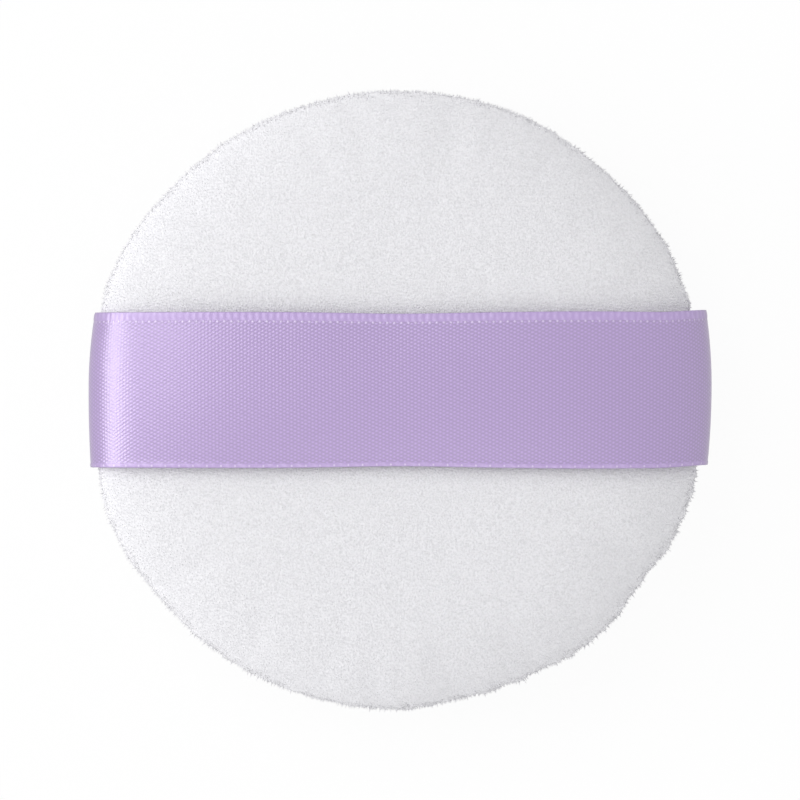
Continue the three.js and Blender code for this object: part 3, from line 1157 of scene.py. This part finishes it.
class MakeFoam(bpy.types.Operator):
    """Make the foam pad inside the covers"""

    bl_idname = "powder_puff.make_foam"
    bl_label = "Make Foam"

    def execute(self, context):
        mesh = spun("foam", foam_profile(), 96)
        moved(mesh, drawn_in)
        mesh = smoothed(mesh)

        def pored(point):
            pore, depth = 1.4 * MM, 0.0025
            return point * (1 - depth * abs(noise.noise(point / pore)))

        moved(mesh, pored)
        piece = link("foam_pad_cut", settled(mesh), foam_material(context.scene.puff_finishes))
        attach(piece, "puff")
        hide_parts("foam_pad")
        return {"FINISHED"}


class MakeRibbon(bpy.types.Operator):
    """Make the satin finger ribbon over the puff"""

    bl_idname = "powder_puff.make_ribbon"
    bl_label = "Make Ribbon"

    def execute(self, context):
        sizes = context.scene.puff_ribbon
        finishes = context.scene.puff_finishes
        mesh, total = ribbon_mesh(sizes)
        solid = with_modifier(
            mesh, "SOLIDIFY", thickness=sizes.thickness, offset=0, material_offset=1, material_offset_rim=0
        )
        piece = link(
            "finger_ribbon_satin",
            settled(solid, RIBBON_X),
            satin_material("Satin Front", finishes, sizes, shine=0.3, tint=1.0),
            satin_material("Satin Back", finishes, sizes, shine=0.5, tint=0.94),
        )
        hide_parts("finger_ribbon")
        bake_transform(piece)
        return {"FINISHED"}


class MakeThreads(bpy.types.Operator):
    """Make the machine seam's two threads and the hand stitches that close the turning gap"""

    bl_idname = "powder_puff.make_threads"
    bl_label = "Make Threads"

    def execute(self, context):
        material = thread_material(context.scene.puff_finishes)
        radius = 0.2 * MM
        hand_stitches = 10
        half_gap = TURNING_GAP_LENGTH / 2 / SEAM_RADIUS
        start = TURNING_GAP_ANGLE + half_gap
        end = TURNING_GAP_ANGLE + math.tau - half_gap
        seam_line = SEAM_RADIUS - 1.0 * MM
        stitches = round((end - start) * seam_line / (4 * MM))
        low = NEEDLE_LOW.z - SEAM_Z + radius
        rise = NEEDLE_HIGH.z - NEEDLE_LOW.z - 2 * radius
        for side, name, node in (
            (1, "needle_thread", "seam_needle_thread"),
            (-1, "bobbin_thread", "seam_bobbin_thread"),
        ):
            points = stitched_line(
                start, end, seam_line, stitches, lambda turn: side * (low + rise * (1 - math.cos(turn)) / 2)
            )
            twisted(name, points, radius, material, node)
        points = stitched_line(
            TURNING_GAP_ANGLE - half_gap,
            TURNING_GAP_ANGLE + half_gap,
            SEAM_RADIUS + 0.9 * MM,
            hand_stitches,
            lambda turn: 0.2 * MM * math.sin(turn),
        )
        twisted("closing_stitches", points, radius, material, "closing_thread")
        return {"FINISHED"}


class PuffPanel(bpy.types.Panel):
    """The powder puff's sizes, colours and making steps"""

    bl_idname = "VIEW3D_PT_powder_puff"
    bl_label = "Powder Puff"
    bl_space_type = "VIEW_3D"
    bl_region_type = "UI"
    bl_category = "Powder Puff"

    def draw(self, context):
        for group_name in SETTINGS:
            group = getattr(context.scene, group_name)
            box = self.layout.box()
            for prop in group.bl_rna.properties:
                if prop.identifier not in ("rna_type", "name"):
                    box.prop(group, prop.identifier)
        for step in STEPS:
            self.layout.operator(step.bl_idname)


SETTINGS = {
    "puff_sizes": PuffSizes,
    "puff_ribbon": RibbonSizes,
    "puff_finishes": Finishes,
    "puff_studio": Studio,
}
STEPS = (MakeStudio, MakeCovers, MakeFoam, MakeRibbon, MakeThreads)


def register():
    for part in (*SETTINGS.values(), *STEPS, PuffPanel):
        bpy.utils.register_class(part)
    for name, group in SETTINGS.items():
        setattr(bpy.types.Scene, name, PointerProperty(type=group))


def unregister():
    for name in SETTINGS:
        delattr(bpy.types.Scene, name)
    for part in (PuffPanel, *reversed(STEPS), *reversed(SETTINGS.values())):
        bpy.utils.unregister_class(part)


def main():
    register()
    bpy.ops.powder_puff.make_studio()
    bpy.ops.powder_puff.make_covers()
    bpy.ops.powder_puff.make_foam()
    bpy.ops.powder_puff.make_ribbon()
    bpy.ops.powder_puff.make_threads()


if __name__ == "__main__":
    main()
